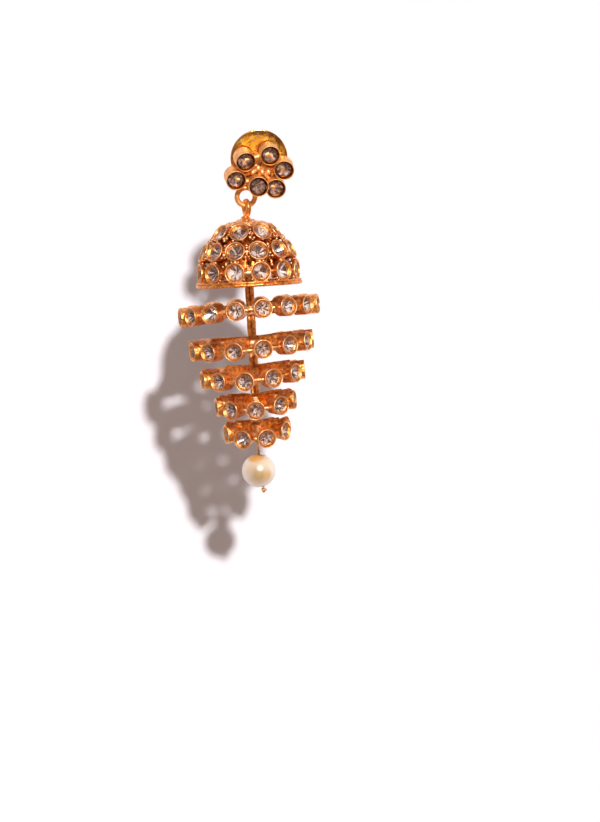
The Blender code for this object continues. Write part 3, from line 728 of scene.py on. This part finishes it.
dome = {
    "centre": -11.8, "radius": 9.3, "face": 9.1, "shadedRecess": 8.2,
    "capStart": 9.0, "capEdge": 28.2, "capThick": 0.8, "capSteps": 6,
    "neckTop": -1.8, "neckRadius": 0.72,
    "neckCrown": ((0.0, 0.05), (0.7, 0.0)),  # share of the neck's radius, up from its top
    "neckFlare": ((0.0, 0.2), (0.12, 0.45), (0.45, 0.66)),  # out from the neck, down from its top
    "rimOuter": 9.5, "rimInner": 8.7, "rimTop": -13.35, "rimBottom": -14.3, "rimEdge": 0.1,
    "rimBead": 0.14, "rimBeadIn": 0.08, "rimBand": 0.30, "rimRough": 0.04,
    "bar": 0.28, "barSwell": 0.40, "barDown": 0.55,
    "uprights": ((51.0, 56.0), (74.5, 79.5), (99.0, 103.0)), "uprightThick": 1.1,
    "grain": 0.29, "grainDown": (0.2, 0.45), "grainSize": (0.85, 1.1), "capGrainUp": -0.07,
    "liner": 7.62, "linerThick": 0.3, "linerTop": 25.0, "linerFoot": 99.0,
    "linerHole": 0.9, "linerHoles": ((58.0, 0.0), (77.0, 2.5), (96.0, 0.0)),
    "bail": (1.3, 0.48), "bailTop": 1.26, "bailBottom": -2.05, "bailTurn": 18.0, "bailMiddle": 0.02,
    "eye": (1.0, 0.25), "eyeCentre": -4.05,
    # Grains between and under the cups: degrees from the top, degrees to either side,
    # size. The first six lie as a small triangle on the cap's edge
    "rows": [
        {
            "stones": 8, "fromTop": 37.3, "first": -13.0, "nod": 15.0, "shine": 0.85,
            "gapGrains": [
                (18.5, 4.5, 0.8), (18.5, 13.5, 0.8), (21.5, 0.0, 0.8), (21.5, 0.0, 0.8), (21.5, 8.0, 0.8),
                (24.5, 3.5, 0.8), (27.0, 0.0, 0.9), (8.5, 0.0, 0.9), (32.0, 0.0, 0.8), (35.5, 0.0, 0.7),
                (39.0, 0.0, 0.8), (42.5, 0.0, 0.9), (46.0, 3.0, 1.0), (49.0, 0.0, 1.0),
            ],
            "cupGrains": [(50.0, 7.0, 0.8)],
        },
        {
            "stones": 12, "fromTop": 64.5, "first": 15.0, "nod": 0.0, "shine": 1.0,
            "gapGrains": [(57.0, 0.0, 1.0), (60.5, 0.0, 0.8), (68.0, 0.0, 1.0), (71.5, 2.0, 0.9)],
            "cupGrains": [(77.0, 4.0, 0.9)],
        },
        {
            "stones": 12, "fromTop": 89.5, "first": 15.0, "nod": 0.0, "shine": 1.05,
            "gapGrains": [(82.0, 0.0, 0.8), (97.5, 5.0, 0.9), (100.5, 8.0, 1.1)],
            "cupGrains": [],
        },
    ],
}
domeCollet = {
    "outer": 1.80, "lip": 1.64, "stone": 1.33, "ledge": 0.46, "back": 1.5, "depth": 1.6, "floor": 1.45,
}
domeMiddle = Vector((0.0, 0.0, dome["centre"]))


def domeOutward(fromTop, around):
    polar = math.radians(fromTop)
    return heading(around) * math.sin(polar) + Vector((0.0, 0.0, math.cos(polar)))


def domePoint(fromTop, around, reach):
    return domeMiddle + domeOutward(fromTop, around) * reach


def rowHeadings(row):
    return [row["first"] + 360.0 * number / row["stones"] for number in range(row["stones"])]


def domeBars(bar):
    parts = []
    reach = dome["face"] - dome["barDown"]
    for row in dome["rows"]:
        pitch = 360.0 / row["stones"]
        for around in rowHeadings(row):
            start = domePoint(row["fromTop"], around, reach)
            end = domePoint(row["fromTop"], around + pitch, reach)
            parts.append(linkCollets(bar, start, end))
    # Uprights between the two lower rows, which stand in line, and down to the rim
    for around in rowHeadings(dome["rows"][1]):
        for fromTop, toTop in dome["uprights"]:
            start = domePoint(fromTop, around, reach)
            end = domePoint(toTop, around, reach)
            parts.append(copyTo(bar, spanPlace(start, end, dome["uprightThick"])))
    return parts


def grainSpots(row):
    spots = []
    for around in rowHeadings(row):
        gap = around + 180.0 / row["stones"]
        for middle, grains in ((gap, row["gapGrains"]), (around, row["cupGrains"])):
            for fromTop, aside, size in grains:
                sides = (-aside, aside) if aside else (0.0,)
                spots += [(fromTop, middle + side, size) for side in sides]
    return spots


def domeGrains(grain):
    parts = []
    for row in dome["rows"]:
        for fromTop, around, size in grainSpots(row):
            reach = dome["face"] - handSet.uniform(*dome["grainDown"])
            if fromTop < dome["capEdge"]:
                reach = dome["radius"] + dome["capGrainUp"]
            size *= handSet.uniform(*dome["grainSize"])
            place = Matrix.Translation(domePoint(fromTop, around, reach))
            parts.append(copyTo(grain, place @ Matrix.Scale(size, 4)))
    return parts


def capPoint(radius, fromTop):
    polar = math.radians(fromTop)
    return (radius * math.sin(polar), dome["centre"] + radius * math.cos(polar))


def makeDomeCap():
    outer, inner = dome["radius"], dome["radius"] - dome["capThick"]
    start, edge, steps = dome["capStart"], dome["capEdge"], dome["capSteps"]
    neck, top = dome["neckRadius"], dome["neckTop"]
    profile = [(neck * share, top + up) for share, up in dome["neckCrown"]]
    profile += [(neck + out, top - down) for out, down in dome["neckFlare"]]
    profile += [capPoint(outer, start + (edge - start) * step / steps) for step in range(steps + 1)]
    profile += [capPoint(inner, edge * (1.0 - step / steps)) for step in range(steps + 1)]
    return turnPiece("cap", profile, 48)


# The deeper wall behind the cups, pierced in the gaps between them
def makeLiner():
    profile = arcPoints(
        (0.0, dome["centre"]), dome["liner"], 90.0 - dome["linerTop"], 90.0 - dome["linerFoot"], 20)
    liner = turnPiece("liner", profile, 96)
    holes = []
    row = dome["rows"][1]
    for around in rowHeadings(row):
        gap = around + 180.0 / row["stones"]
        for fromTop, aside in dome["linerHoles"]:
            holes.append(domePoint(fromTop, gap + aside, dome["liner"]))
    bpy.ops.object.mode_set(mode="EDIT")
    pickFaces(liner, lambda face: any(
        (face.calc_center_median() - hole).length < dome["linerHole"] / 2 for hole in holes))
    bpy.ops.mesh.delete(type="FACE")
    bpy.ops.object.mode_set(mode="OBJECT")
    wall = liner.modifiers.new("wall", "SOLIDIFY")
    wall.thickness = dome["linerThick"]
    bpy.ops.object.modifier_apply(modifier=wall.name)
    return liner


def makeRim():
    outer, inner, top, bottom = dome["rimOuter"], dome["rimInner"], dome["rimTop"], dome["rimBottom"]
    bead, beadIn, band, edge = dome["rimBead"], dome["rimBeadIn"], dome["rimBand"], dome["rimEdge"]
    profile = [(inner, top), (outer - bead - 2.0 * beadIn, top)]
    profile += arcPoints((outer - bead - beadIn, top - bead), bead, 90.0, -60.0, 6)
    profile += arcPoints((outer - band, bottom + band), band, 75.0, -90.0, 8)
    profile += [(inner + edge, bottom), (inner, bottom + edge), (inner, top)]
    return roughenPiece(turnPiece("rim", profile, 96), dome["rimRough"])


def makeBail():
    radius, wire = dome["bail"]
    top, bottom = dome["bailTop"], dome["bailBottom"]
    turn = turnBy(dome["bailTurn"], "Z") @ turnBy(90.0, "X") @ turnBy(90.0, "Y")
    bail = ringPiece("bail", radius, wire, turn, 48, 16)
    pickOnly(bail)
    fixPlace()
    # The round link is drawn out to an oval by moving its two halves apart
    spare = (top - bottom) / 2 - radius - wire
    for side in (1.0, -1.0):
        bpy.ops.object.mode_set(mode="EDIT")
        pickFaces(bail, lambda face: face.calc_center_median().z * side > dome["bailMiddle"])
        bpy.ops.transform.translate(value=(0.0, 0.0, side * spare))
        bpy.ops.object.mode_set(mode="OBJECT")
    bail.location = (-dropAside, 0.0, (top + bottom) / 2)
    return bail


def makeDome():
    collet = makeCollet("domeCollet", domeCollet)
    gem = makeStone("domeStone", dict(stone, radius=domeCollet["stone"]))
    bar = makeBar("domeBar", dome["bar"], dome["barSwell"])
    grain = makeGrain("domeGrain", dome["grain"])
    cups, gems = [], []
    for row in dome["rows"]:
        for around in rowHeadings(row):
            seat = faceOut(domeOutward(row["fromTop"], around), dome["face"], domeMiddle)
            seat @= turnBy(row["nod"], "X")
            cups.append(copyTo(collet, seat))
            gems.append(copyStone(gem, sunkPlace(seat), row["shine"]))
    eye = ringPiece("eye", *dome["eye"], raiseBy(dome["eyeCentre"]) @ turnBy(90.0, "Y"))
    parts = [makeDomeCap(), makeLiner(), makeRim(), makeBail(), eye]
    parts += cups + domeBars(bar) + domeGrains(grain)
    dropModels(collet, gem, bar, grain)
    metal = joinPieces("domeMetal", coatParts(parts, castGold))
    # Painted shade: metal deep inside the dome, behind and between the cups, is darker
    addMaterials(metal, recessShadeGold)
    shadedRecess = len(metal.data.materials) - 1
    paintFaces(metal, shadedRecess, lambda middle: (middle - domeMiddle).length < dome["shadedRecess"])
    settlePiece(metal, hangPlace, "drop", "rose_gold", None, "dome")
    stones = joinPieces("domeStones", gems)
    settlePiece(stones, hangPlace, "drop", "pale_stone", None)


makeDome()
print("dome ready")


# Tier rings, from the dome down

tierShape = {
    "depth": 2.9, "backRadius": 1.65, "crowding": 0.93, "barDown": 0.75, "bar": 0.34, "barSwell": 0.46,
    "hubHole": 0.8, "hubRadius": 1.35, "hubHeight": 1.7, "hubEdge": 0.14, "hubHoleEdge": 0.1,
    "spokes": (56.0, 124.0, -124.0, -56.0), "spokeBite": 1.2, "spokeUp": 0.15,
    "spokeHeight": 2.1, "spokeThick": 0.45, "spokeEdge": 0.09, "spokeCuts": 5, "spokeRough": 0.05,
}
# Each hub sits at its height on the stem. Its ring of cups is hand bent: off the
# hub by aside and sag, with its left and right sides raised by saddle
tierColumns = ("stones", "radius", "first", "dip", "rise", "height", "aside", "sag", "saddle", "shine")
tierRows = [
    (16, 12.66, 12.6, -0.3, 3.0, -18.63, -0.3, 0.39, -0.45, 0.95),
    (13, 11.14, 11.7, 0.7, 2.7, -24.5, -0.23, -0.71, 0.41, 0.72),
    (11, 9.4, -8.6, 0.8, 2.7, -29.6, -0.26, -1.07, 0.59, 0.68),
    (9, 7.22, -0.1, 3.5, 2.8, -34.7, 0.0, -1.03, 0.56, 0.66),
    (8, 5.91, 17.2, 6.9, 1.9, -39.6, 0.0, -1.21, 0.78, 0.64),
]
tiers = [dict(zip(tierColumns, row)) for row in tierRows]
tierCollet = {"outer": 1.70, "lip": 1.54, "stone": 1.27, "ledge": 0.46, "depth": 2.9, "floor": 1.6}


# The middle of a bent ring, as seen from a stone that looks along outward
def ringMiddle(tier, outward):
    return Vector((tier["aside"], 0.0, tier["sag"] + tier["saddle"] * outward.x ** 2))


def makeSpoke(length):
    bpy.ops.mesh.primitive_cube_add(size=1.0)
    spoke = startPiece("spoke")
    spoke.scale = (tierShape["spokeThick"], tierShape["spokeHeight"], length)
    fixPlace()
    bevel = spoke.modifiers.new("soft edges", "BEVEL")
    bevel.width = tierShape["spokeEdge"]
    bevel.segments = 2
    bpy.ops.object.modifier_apply(modifier=bevel.name)
    openShape(spoke)
    bpy.ops.mesh.subdivide(number_cuts=tierShape["spokeCuts"])
    bpy.ops.object.mode_set(mode="OBJECT")
    roughenPiece(spoke, tierShape["spokeRough"])
    smoothPiece(spoke)
    return spoke


def makeHub():
    outer, hole, half = tierShape["hubRadius"], tierShape["hubHole"], tierShape["hubHeight"] / 2
    edge, lip = tierShape["hubEdge"], tierShape["hubHoleEdge"]
    profile = [(hole, half - lip), (hole + lip, half), (outer - edge, half), (outer, half - edge)]
    profile += [(outer, edge - half), (outer - edge, -half), (hole + lip, -half), (hole, lip - half)]
    return turnPiece("hub", profile + profile[:1], 32)


def makeTier(number, tier):
    pitch = 360.0 / tier["stones"]
    room = (tier["radius"] - tierShape["depth"]) * math.tan(math.pi / tier["stones"])
    back = min(tierShape["backRadius"], tierShape["crowding"] * room)
    collet = makeCollet("tierCollet", dict(tierCollet, back=back))
    gem = makeStone("tierStone", dict(stone, radius=tierCollet["stone"]))
    bar = makeBar("tierBar", tierShape["bar"], tierShape["barSwell"])
    parts, gems = [], []
    reach = tier["radius"] - tierShape["barDown"]
    for place in range(tier["stones"]):
        around = tier["first"] + pitch * place
        outward, nextOutward = heading(around), heading(around + pitch)
        seat = faceOut(outward, tier["radius"], ringMiddle(tier, outward))
        parts.append(copyTo(collet, seat))
        gems.append(copyStone(gem, sunkPlace(seat), tier["shine"]))
        start = ringMiddle(tier, outward) + outward * reach
        end = ringMiddle(tier, nextOutward) + nextOutward * reach
        parts.append(linkCollets(bar, start, end))
    inner = (tierShape["hubHole"] + tierShape["hubRadius"]) / 2
    outer = tier["radius"] - tierShape["depth"] + tierShape["spokeBite"]
    spoke = makeSpoke(outer - inner)
    raised = Vector((0.0, 0.0, tierShape["spokeUp"]))
    for wanted in tierShape["spokes"]:
        # Each spoke ends at the cup nearest to its wanted heading
        around = tier["first"] + pitch * round((wanted - tier["first"]) / pitch)
        parts.append(copyTo(spoke, faceOut(heading(around), (outer + inner) / 2, raised)))
    parts.append(makeHub())
    dropModels(collet, gem, bar, spoke)
    tilt = hangPlace @ raiseBy(tier["height"] * millimetre)
    tilt @= turnBy(-tier["rise"], "Y") @ turnBy(tier["dip"], "X")
    metal = joinPieces(f"tierMetal{number}", coatParts(parts, castGold))
    settlePiece(metal, tilt, "drop", "rose_gold", None, f"tier_ring_{number}")
    stones = joinPieces(f"tierStones{number}", gems)
    settlePiece(stones, tilt, "drop", "pale_stone", None)


for number, tier in enumerate(tiers, start=1):
    makeTier(number, tier)
print("tiers ready")


# Stem: long oval wire links, soldered end to end, between two round eyes

stem = {
    "wire": 0.43, "halfWidth": 0.40, "bend": 0.272, "straight": 0.62, "overlap": 0.08,
    "hiddenNeck": -12.6, "topEye": (-5.05, 0.82, 0.18), "bottomEye": (-41.45, 0.75, 0.20),
}


def makeLink(top, foot):
    middle, half = (top + foot) / 2, (top - foot) / 2
    bend = Vector((stem["bend"], 0.0, 0.0))
    straight = Vector((0.0, 0.0, half * stem["straight"]))
    bpy.ops.curve.primitive_bezier_circle_add(radius=1.0)
    link = startPiece("link")
    link.data.bevel_depth = stem["wire"]
    link.data.bevel_resolution = 3
    link.data.resolution_u = 10
    corners = [
        (Vector((0.0, 0.0, top)), bend),
        (Vector((stem["halfWidth"], 0.0, middle)), -straight),
        (Vector((0.0, 0.0, foot)), -bend),
        (Vector((-stem["halfWidth"], 0.0, middle)), straight),
    ]
    for point, (corner, handle) in zip(link.data.splines[0].bezier_points, corners):
        point.handle_left_type = point.handle_right_type = "FREE"
        point.co = corner
        point.handle_left = corner - handle
        point.handle_right = corner + handle
    bpy.ops.object.convert(target="MESH")
    smoothPiece(link, 60.0)
    return link


def makeStem():
    parts = []
    for name in ("topEye", "bottomEye"):
        centre, radius, wire = stem[name]
        parts.append(ringPiece(name, radius, wire, raiseBy(centre) @ turnBy(90.0, "X")))
    # The links meet in the hubs, and once out of sight in the dome
    necks = [stem["topEye"][0] - stem["topEye"][1], stem["hiddenNeck"]]
    necks += [tier["height"] for tier in tiers]
    necks.append(stem["bottomEye"][0] + stem["bottomEye"][1])
    for top, foot in zip(necks, necks[1:]):
        parts.append(makeLink(top + stem["overlap"], foot - stem["overlap"]))
    piece = joinPieces("stemLinks", parts)
    settlePiece(piece, hangPlace, "drop", "rose_gold", [castGold], "centre_stem")


makeStem()
print("stem ready")


# Pearl on its pin, with a cluster of grains below

pearl = {
    "radius": 3.0, "centre": (-0.1, 0.0, -47.4),
    "hole": 0.42, "holeRim": 0.02, "holeEdge": 0.05, "holeDepth": 1.2,
}
pin = {
    "wire": 0.2, "top": (0.0, 0.0, -43.05), "foot": (0.62, 0.0, -50.85), "loop": 0.8, "loopCentre": -42.25,
    "grain": 0.3, "grainSpread": 0.27, "grains": 3, "grainTurn": 0.3,
}
nacre = {
    "tones": ((0.70, 0.59, 0.45), (0.76, 0.68, 0.58)), "roughness": (0.30, 0.38),
    "cloudScale": 260.0, "cloudEdges": (0.38, 0.62),
    "coatRoughness": 0.34, "coatIor": 1.9, "depthShare": 0.35, "depth": (0.0016, 0.0011, 0.0007),
    "bump": (0.00004, 0.15),
    "paintedReflections": [
        # place, full out to, gone by, strength, colour
        ((-0.1, -2.9, -47.9), 0.7, 2.7, 0.90, (0.40, 0.26, 0.10)),
        ((-0.5, -1.3, -44.7), 1.1, 1.7, 0.85, (0.64, 0.35, 0.07)),
        ((1.55, -2.3, -48.1), 0.4, 1.2, 0.60, (0.64, 0.37, 0.08)),
    ],
}


def nacreMaterial():
    material, tree, shader = newMaterial("nacre")
    coords = addNode(tree, "ShaderNodeTexCoord").outputs["Object"]
    cloud = addNoise(tree, coords, nacre["cloudScale"], detail=1.0)
    cloud = addRange(tree, cloud, *nacre["cloudEdges"], 0.0, 1.0)
    tone = addMix(tree, cloud, *nacre["tones"])
    # Painted reflections and shade: a darker golden front, and gold mirrored at the top by its hole and at
    # the lower right
    for place, inner, outer, share, colour in nacre["paintedReflections"]:
        away = addNode(tree, "ShaderNodeVectorMath", operation="DISTANCE")
        tree.links.new(coords, away.inputs[0])
        away.inputs[1].default_value = hangPlace @ (Vector(place) * millimetre)
        reach = (inner * millimetre, outer * millimetre)
        reflectionMask = addRange(tree, away.outputs["Value"], *reach, share, 0.0)
        tone = addMix(tree, reflectionMask, tone, colour)
    tree.links.new(tone, shader.inputs["Base Color"])
    rough = addRange(tree, cloud, 0.0, 1.0, *nacre["roughness"])
    tree.links.new(rough, shader.inputs["Roughness"])
    shader.inputs["Coat Weight"].default_value = 1.0
    shader.inputs["Coat Roughness"].default_value = nacre["coatRoughness"]
    shader.inputs["Coat IOR"].default_value = nacre["coatIor"]
    shader.inputs["Subsurface Weight"].default_value = nacre["depthShare"]
    shader.inputs["Subsurface Radius"].default_value = nacre["depth"]
    shader.inputs["Subsurface Scale"].default_value = 1.0
    addBump(tree, shader, cloud, *nacre["bump"])
    return material


def makePearl():
    bpy.ops.mesh.primitive_uv_sphere_add(segments=64, ring_count=40, radius=pearl["radius"])
    ball = startPiece("pearlBead")
    along = Vector(pin["top"]) - Vector(pin["foot"])
    lean = Vector((0.0, 0.0, 1.0)).rotation_difference(along).to_matrix().to_4x4()
    # The poles are pressed in to small drilled hollows
    rim = math.sqrt(pearl["radius"] ** 2 - pearl["hole"] ** 2) - pearl["holeRim"]
    bpy.ops.object.mode_set(mode="EDIT")
    for side in (1.0, -1.0):
        pickFaces(ball, lambda face: face.calc_center_median().z * side > rim)
        bpy.ops.mesh.inset(thickness=pearl["holeEdge"])
        bpy.ops.transform.translate(value=(0.0, 0.0, -side * pearl["holeDepth"]))
    bpy.ops.object.mode_set(mode="OBJECT")
    ball.matrix_world = Matrix.Translation(pearl["centre"]) @ lean
    fixPlace()
    smoothPiece(ball, 50.0)
    settlePiece(ball, hangPlace, "drop", "nacre", [nacreMaterial()], "pearl")


def makePin():
    top, foot = Vector(pin["top"]), Vector(pin["foot"])
    bar = makeBar("pinBar", pin["wire"], pin["wire"])
    grain = makeGrain("pinGrain", pin["grain"])
    loopPlace = raiseBy(pin["loopCentre"]) @ turnBy(90.0, "Y")
    parts = [copyTo(bar, spanPlace(foot, top)), ringPiece("loop", pin["loop"], pin["wire"], loopPlace)]
    for number in range(pin["grains"]):
        angle = fullTurn * number / pin["grains"] + pin["grainTurn"]
        aside = Vector((math.cos(angle), math.sin(angle), 0.0)) * pin["grainSpread"]
        parts.append(copyTo(grain, Matrix.Translation(foot + aside)))
    parts.append(copyTo(grain, Matrix.Translation(foot - Vector((0.0, 0.0, pin["grain"])))))
    dropModels(bar, grain)
    piece = joinPieces("pearlPin", parts)
    settlePiece(piece, hangPlace, "drop", "rose_gold", [castGold], "pearl_pin")


makePearl()
makePin()
print("pearl ready")


# Backdrop, light and camera, from the photograph's framing

shot = {
    "pixelsPerMm": 5.62, "distance": 500.0, "elevation": 4.0, "roll": 3.05,
    "hangRight": 244.9, "hangDown": 205.6, "width": 600, "height": 822,
    "sensor": 36.0, "clipStart": 0.01,
}
paper = {
    "behind": 47.5, "size": 500.0, "roughness": 0.9,
    "tones": ((0.71, 0.715, 0.79), (0.74, 0.745, 0.82)), "cloudScale": 40.0,
}
lighting = {
    "toSun": (0.208, -1.0, 0.402), "sunStrength": 3.75, "sunAngle": 2.6, "sunColour": (1.0, 0.96, 0.92),
    "toTable": (0.17, -0.91, -0.38), "tableColour": (1.7, 1.2, 0.35), "tableEdges": (0.982, 0.997),
    "roomColour": (0.20, 0.12, 0.08), "lampColour": (1.15, 1.02, 1.0), "lampScale": 3.4,
    "lampEdges": (0.56, 0.61), "seenColour": (1.0, 1.0, 1.0), "seenStrength": 1.6,
}


def makeBackdrop():
    size = paper["size"] * millimetre
    bpy.ops.mesh.primitive_grid_add(x_subdivisions=8, y_subdivisions=8, size=size)
    sheet = startPiece("backdrop")
    # The sheet stands square to the camera
    behind = turnBy(90.0 - shot["elevation"], "X") @ raiseBy(-paper["behind"] * millimetre)
    sheet.matrix_world = Matrix.Translation(hangPlace.translation) @ behind
    fixPlace()
    material, tree, shader = newMaterial("whitePaper")
    coords = addNode(tree, "ShaderNodeTexCoord").outputs["Object"]
    tone = addMix(tree, addNoise(tree, coords, paper["cloudScale"]), *paper["tones"])
    tree.links.new(tone, shader.inputs["Base Color"])
    shader.inputs["Roughness"].default_value = paper["roughness"]
    # Seen from behind, the sheet is clear, so that it hides nothing
    clear = addNode(tree, "ShaderNodeBsdfTransparent")
    pick = addNode(tree, "ShaderNodeMixShader")
    back = addNode(tree, "ShaderNodeNewGeometry").outputs["Backfacing"]
    tree.links.new(back, pick.inputs[0])
    tree.links.new(shader.outputs[0], pick.inputs[1])
    tree.links.new(clear.outputs[0], pick.inputs[2])
    tree.links.new(pick.outputs[0], tree.nodes["Material Output"].inputs["Surface"])
    addMaterials(sheet, material)


def makeLight():
    bpy.ops.object.light_add(type="SUN")
    sun = startPiece("keyLight")
    sun.rotation_euler = Vector(lighting["toSun"]).to_track_quat("Z", "Y").to_euler()
    sun.data.energy = lighting["sunStrength"]
    sun.data.angle = math.radians(lighting["sunAngle"])
    sun.data.color = lighting["sunColour"]
    world = bpy.data.worlds.new("studio")
    bpy.context.scene.world = world
    world.use_nodes = True
    tree = world.node_tree
    # A warm dim room with soft lamps here and there, for the gold and the facets to mirror
    fill = tree.nodes["Background"]
    around = addNode(tree, "ShaderNodeTexCoord").outputs["Generated"]
    lamps = addNoise(tree, around, lighting["lampScale"], detail=1.0)
    lamps = addRange(tree, lamps, *lighting["lampEdges"], 0.0, 1.0)
    room = addMix(tree, lamps, lighting["roomColour"], lighting["lampColour"])
    # One warm patch low in front, for the clutch's polished disc
    towards = addNode(tree, "ShaderNodeVectorMath", operation="DOT_PRODUCT")
    tree.links.new(around, towards.inputs[0])
    towards.inputs[1].default_value = Vector(lighting["toTable"]).normalized()
    patch = addRange(tree, towards.outputs["Value"], *lighting["tableEdges"], 0.0, 1.0)
    room = addMix(tree, patch, room, lighting["tableColour"])
    tree.links.new(room, fill.inputs["Color"])
    seen = addNode(tree, "ShaderNodeBackground")
    seen.inputs["Color"].default_value = (*lighting["seenColour"], 1.0)
    seen.inputs["Strength"].default_value = lighting["seenStrength"]
    pick = addNode(tree, "ShaderNodeMixShader")
    tree.links.new(addNode(tree, "ShaderNodeLightPath").outputs["Is Camera Ray"], pick.inputs[0])
    tree.links.new(fill.outputs[0], pick.inputs[1])
    tree.links.new(seen.outputs[0], pick.inputs[2])
    tree.links.new(pick.outputs[0], tree.nodes["World Output"].inputs["Surface"])


def makeCamera():
    elevation, roll = math.radians(shot["elevation"]), math.radians(shot["roll"])
    ahead = Vector((0.0, math.cos(elevation), -math.sin(elevation)))
    level = Vector((1.0, 0.0, 0.0))
    above = level.cross(ahead)
    right = level * math.cos(roll) - above * math.sin(roll)
    up = level * math.sin(roll) + above * math.cos(roll)
    perMm = shot["pixelsPerMm"]
    across = (shot["width"] / 2 - shot["hangRight"]) / perMm * millimetre
    down = (shot["height"] / 2 - shot["hangDown"]) / perMm * millimetre
    target = hangPlace.translation + right * across - up * down
    bpy.ops.object.camera_add()
    camera = startPiece("camera")
    turn = Matrix((right, up, -ahead)).transposed().to_4x4()
    turn.translation = target - ahead * shot["distance"] * millimetre
    camera.matrix_world = turn
    camera.data.sensor_width = shot["sensor"]
    camera.data.lens = shot["sensor"] * shot["distance"] / (shot["height"] / perMm)
    camera.data.clip_start = shot["clipStart"]
    bpy.context.scene.camera = camera


makeBackdrop()
makeLight()
makeCamera()
bpy.context.scene.view_settings.view_transform = "Standard"
print("stage ready")
